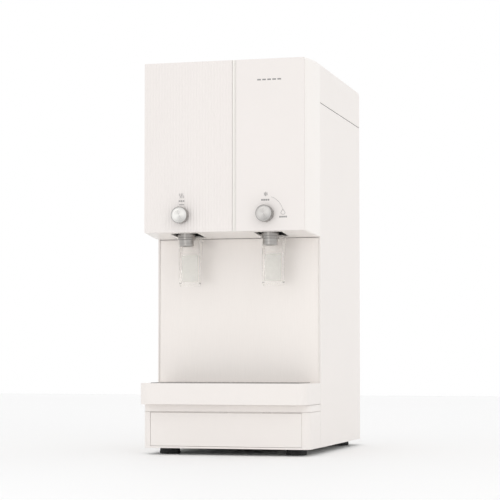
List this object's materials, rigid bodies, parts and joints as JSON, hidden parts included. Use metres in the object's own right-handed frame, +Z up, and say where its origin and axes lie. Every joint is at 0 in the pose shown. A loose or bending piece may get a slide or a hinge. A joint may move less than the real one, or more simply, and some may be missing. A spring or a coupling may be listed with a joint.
{
  "type": "countertop water dispenser",
  "caption": "Countertop hot and cold water dispenser with push levers, a turning cold knob, a press button for hot water and a slide-out drip tray.",
  "frame": {"origin": "middle of the footprint, on the plane that the feet stand on", "axes": "+Z up, -Y to the front where the cups stand, +X to the right of someone facing the front"},
  "size_m": [0.26, 0.42, 0.6],
  "materials": {
    "cabinet": "fine moulded satin",
    "head": "smooth satin gloss",
    "front_plate": "fine satin",
    "trim": "satin pearl",
    "splash": "satin pearl",
    "steel": "brushed",
    "nozzle_chrome": "satin chrome",
    "tip_chrome": "satin chrome",
    "knob_face": "spun brushed",
    "knob_skirt": "satin",
    "dark_plastic": "matt",
    "clear": "clear polished acrylic",
    "rubber": "matt",
    "inner_plastic": "matt",
    "filter": "smooth",
    "foam": "beaded foam",
    "tube": "smooth silicone",
    "black_steel": "enamel",
    "fin": "mill finish",
    "board": "solder mask",
    "rocker_red": "gloss",
    "rocker_blue": "gloss"
  },
  "bodies": {
    "cabinet": {"base_pan": "inner_plastic", "feet": "rubber", "side_panel_left": "cabinet", "side_panel_right": "cabinet", "back_panel": "cabinet", "front_housing": "head", "fluted_panel": "front_plate", "plain_panel": "front_plate", "centre_trim": "trim", "splash_panel": "splash", "tray_carrier": "cabinet", "base_front": "cabinet", "outlet_cup_hot": "dark_plastic", "outlet_cup_cold": "dark_plastic", "nozzle_hot": "nozzle_chrome", "nozzle_cold": "nozzle_chrome", "nozzle_tip_hot": "tip_chrome", "nozzle_tip_cold": "tip_chrome", "lever_pins": "steel", "lever_sensors": "dark_plastic", "button_switch": "dark_plastic", "selector_valve": "inner_plastic", "hot_valve": "inner_plastic", "cold_valve": "inner_plastic", "outlet_tubes": "tube", "hot_tank": "steel", "heater_band": "steel", "cold_tank": "steel", "cold_jacket": "foam", "tank_shelf": "steel", "filter_manifold": "inner_plastic", "compressor": "black_steel", "compressor_feet": "rubber", "condenser": "fin", "fan_frame": "dark_plastic", "control_board": "board", "service_pocket": "inner_plastic", "inlet_fitting": "inner_plastic", "power_inlet": "dark_plastic", "rocker_frames": "dark_plastic", "back_screws": "steel"},
    "top_cover": {"top_cover": "cabinet"},
    "lower_cover": {"lower_cover": "cabinet"},
    "drip_tray": {"drip_tray": "head"},
    "drip_grille": {"drip_grille": "steel"},
    "lever_hot": {"lever_hot": "clear", "lever_spring_hot": "steel"},
    "lever_cold": {"lever_cold": "clear", "lever_spring_cold": "steel"},
    "hot_button": {"hot_button": "knob_skirt", "hot_button_cap": "knob_face"},
    "cold_knob": {"cold_knob": "knob_skirt", "cold_knob_cap": "knob_face"},
    "filter_sediment": {"filter_sediment": "filter"},
    "filter_carbon": {"filter_carbon": "filter"},
    "filter_membrane": {"filter_membrane": "filter"},
    "fan_rotor": {"fan_rotor": "dark_plastic"},
    "heater_rocker": {"heater_rocker": "rocker_red"},
    "cooler_rocker": {"cooler_rocker": "rocker_blue"}
  },
  "joints": [
    {"name": "top_cover_lift", "type": "slide", "parent": "cabinet", "child": "top_cover", "axis": [0, 0, 1], "range_m": [0, 0.12]},
    {"name": "lower_cover_pull", "type": "slide", "parent": "cabinet", "child": "lower_cover", "axis": [0, -1, 0], "range_m": [0, 0.06]},
    {"name": "tray_slide", "type": "slide", "parent": "cabinet", "child": "drip_tray", "axis": [0, -1, 0], "range_m": [0, 0.12]},
    {"name": "grille_lift", "type": "slide", "parent": "drip_tray", "child": "drip_grille", "axis": [0, 0, 1], "range_m": [0, 0.06]},
    {"name": "lever_hot_push", "type": "hinge", "parent": "cabinet", "child": "lever_hot", "pos_m": [-0.0657, -0.1394, 0.3419], "axis": [1, 0, 0], "range_deg": [0, 12], "stiffness_Nm_per_rad": 0.06, "springref_deg": -17.19},
    {"name": "lever_cold_push", "type": "hinge", "parent": "cabinet", "child": "lever_cold", "pos_m": [0.0657, -0.1394, 0.3419], "axis": [1, 0, 0], "range_deg": [0, 12], "stiffness_Nm_per_rad": 0.06, "springref_deg": -17.19},
    {"name": "hot_button_press", "type": "slide", "parent": "cabinet", "child": "hot_button", "axis": [0, 1, 0], "range_m": [0, 0.003], "stiffness_N_per_m": 200, "springref_m": -0.005},
    {"name": "cold_knob_turn", "type": "hinge", "parent": "cabinet", "child": "cold_knob", "pos_m": [0.0657, -0.1958, 0.3607], "axis": [0, 1, 0], "range_deg": [0, 90]},
    {"name": "filter_sediment_twist", "type": "hinge", "parent": "cabinet", "child": "filter_sediment", "pos_m": [-0.07, -0.0713, 0.2], "axis": [0, 0, 1], "range_deg": [0, 90]},
    {"name": "filter_carbon_twist", "type": "hinge", "parent": "cabinet", "child": "filter_carbon", "pos_m": [0, -0.0713, 0.2], "axis": [0, 0, 1], "range_deg": [0, 90]},
    {"name": "filter_membrane_twist", "type": "hinge", "parent": "cabinet", "child": "filter_membrane", "pos_m": [0.07, -0.0713, 0.2], "axis": [0, 0, 1], "range_deg": [0, 90]},
    {"name": "fan_spin", "type": "hinge", "parent": "cabinet", "child": "fan_rotor", "pos_m": [0.034, 0.1765, 0.178], "axis": [0, 1, 0], "continuous": true},
    {"name": "heater_rocker_tip", "type": "hinge", "parent": "cabinet", "child": "heater_rocker", "pos_m": [-0.022, 0.179, 0.075], "axis": [1, 0, 0], "range_deg": [-20, 0]},
    {"name": "cooler_rocker_tip", "type": "hinge", "parent": "cabinet", "child": "cooler_rocker", "pos_m": [0.006, 0.179, 0.075], "axis": [1, 0, 0], "range_deg": [-20, 0]}
  ]
}
